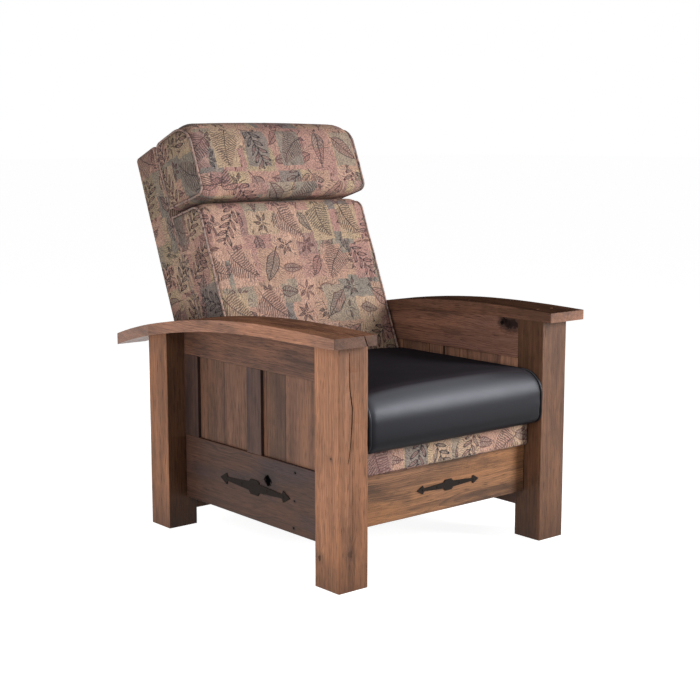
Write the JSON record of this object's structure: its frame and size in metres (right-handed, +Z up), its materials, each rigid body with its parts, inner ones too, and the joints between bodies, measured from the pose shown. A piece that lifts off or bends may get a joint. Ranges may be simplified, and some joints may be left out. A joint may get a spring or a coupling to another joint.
{
  "type": "reclining armchair",
  "caption": "Reclining armchair: bowed wooden arms on square posts, panelled sides, cushioned seat and back, head pillow, and a footrest that folds out from under the seat.",
  "frame": {"origin": "on the floor, under the middle of the box round the chair", "axes": "+X across the chair to its right as seen from the front, the front faces -Y, +Z up"},
  "size_m": [0.842, 1.0465, 1.0911],
  "materials": {
    "barnwood": "sawn and sanded, satin",
    "weathered_wood": "sawn and sanded, satin",
    "frame_wood": "planed, bare",
    "wood_plugs": "end grain, satin",
    "upholstery": "woven tapestry",
    "seat_leather": "smooth, semi-gloss",
    "deck_cloth": "woven, matt",
    "black_iron": "hammered, matt black",
    "steel": "satin black"
  },
  "bodies": {
    "frame": {"post_front_left": "barnwood", "post_front_right": "barnwood", "post_rear_left": "barnwood", "post_rear_right": "barnwood", "arm_left": "barnwood", "arm_right": "barnwood", "lower_rail_left": "weathered_wood", "lower_rail_right": "weathered_wood", "upper_rail_left": "weathered_wood", "upper_rail_right": "weathered_wood", "front_stile_left": "weathered_wood", "front_stile_right": "weathered_wood", "mullion_left": "weathered_wood", "mullion_right": "weathered_wood", "rear_stile_left": "weathered_wood", "rear_stile_right": "weathered_wood", "front_panel_left": "barnwood", "front_panel_right": "barnwood", "rear_panel_left": "barnwood", "rear_panel_right": "barnwood", "rear_rail": "weathered_wood", "arm_plugs": "wood_plugs", "side_strap_left": "black_iron", "side_strap_right": "black_iron", "side_strap_nails": "black_iron", "base_plate_left": "steel", "base_plate_right": "steel", "base_tubes": "steel", "base_studs": "steel", "base_screws": "steel"},
    "rear_links": {"rear_swing_links": "steel"},
    "front_links": {"front_swing_links": "steel"},
    "seat": {"seat_plate_left": "steel", "seat_plate_right": "steel", "seat_studs": "steel", "seat_side_rail_left": "frame_wood", "seat_side_rail_right": "frame_wood", "seat_rear_rail": "frame_wood", "seat_front_rail": "upholstery", "seat_springs": "steel", "seat_deck": "deck_cloth", "seat_cushion": "seat_leather"},
    "back": {"back_frame": "upholstery", "back_bracket_left": "steel", "back_bracket_right": "steel", "back_cushion": "upholstery", "head_pillow": "upholstery"},
    "foot_rear": {"foot_rear_links": "steel", "foot_link_studs": "steel", "foot_cross_bar": "steel"},
    "foot_front": {"foot_front_links": "steel"},
    "footrest": {"foot_bracket_left": "steel", "foot_bracket_right": "steel", "foot_studs": "steel", "foot_board": "barnwood", "foot_pad": "upholstery", "front_strap": "black_iron", "front_strap_nails": "black_iron"}
  },
  "joints": [
    {"name": "recline", "type": "hinge", "parent": "seat", "child": "back", "pos_m": [0, 0.19384, 0.3], "axis": [-1, 0, 0], "range_deg": [0, 24]},
    {"name": "rear_swing", "type": "hinge", "parent": "frame", "child": "rear_links", "pos_m": [0, 0.10383, 0.13], "axis": [-1, 0, 0], "range_deg": [-44, 0]},
    {"name": "seat_level", "type": "hinge", "parent": "rear_links", "child": "seat", "pos_m": [0, 0.1413, 0.22272], "axis": [-1, 0, 0], "range_deg": [0, 44]},
    {"name": "front_swing", "type": "hinge", "parent": "frame", "child": "front_links", "pos_m": [0, -0.06617, 0.13], "axis": [-1, 0, 0], "range_deg": [-44, 0]},
    {"name": "foot_a", "type": "hinge", "parent": "seat", "child": "foot_rear", "pos_m": [0, -0.30117, 0.236], "axis": [-1, 0, 0], "range_deg": [0, 150]},
    {"name": "foot_b", "type": "hinge", "parent": "foot_rear", "child": "foot_front", "pos_m": [0, -0.15827, 0.1535], "axis": [-1, 0, 0], "range_deg": [-110, 0]},
    {"name": "foot_tip", "type": "hinge", "parent": "foot_front", "child": "footrest", "pos_m": [0, -0.3927, 0.13711], "axis": [-1, 0, 0], "range_deg": [-120, 0]}
  ],
  "couplings": [
    {"joint": "rear_swing", "follows": "recline", "ratio": -1.8333},
    {"joint": "seat_level", "follows": "recline", "ratio": 1.8333},
    {"joint": "front_swing", "follows": "recline", "ratio": -1.8333},
    {"joint": "foot_a", "follows": "recline", "ratio": 6.25},
    {"joint": "foot_b", "follows": "recline", "ratio": -4.5833},
    {"joint": "foot_tip", "follows": "recline", "ratio": -5}
  ]
}
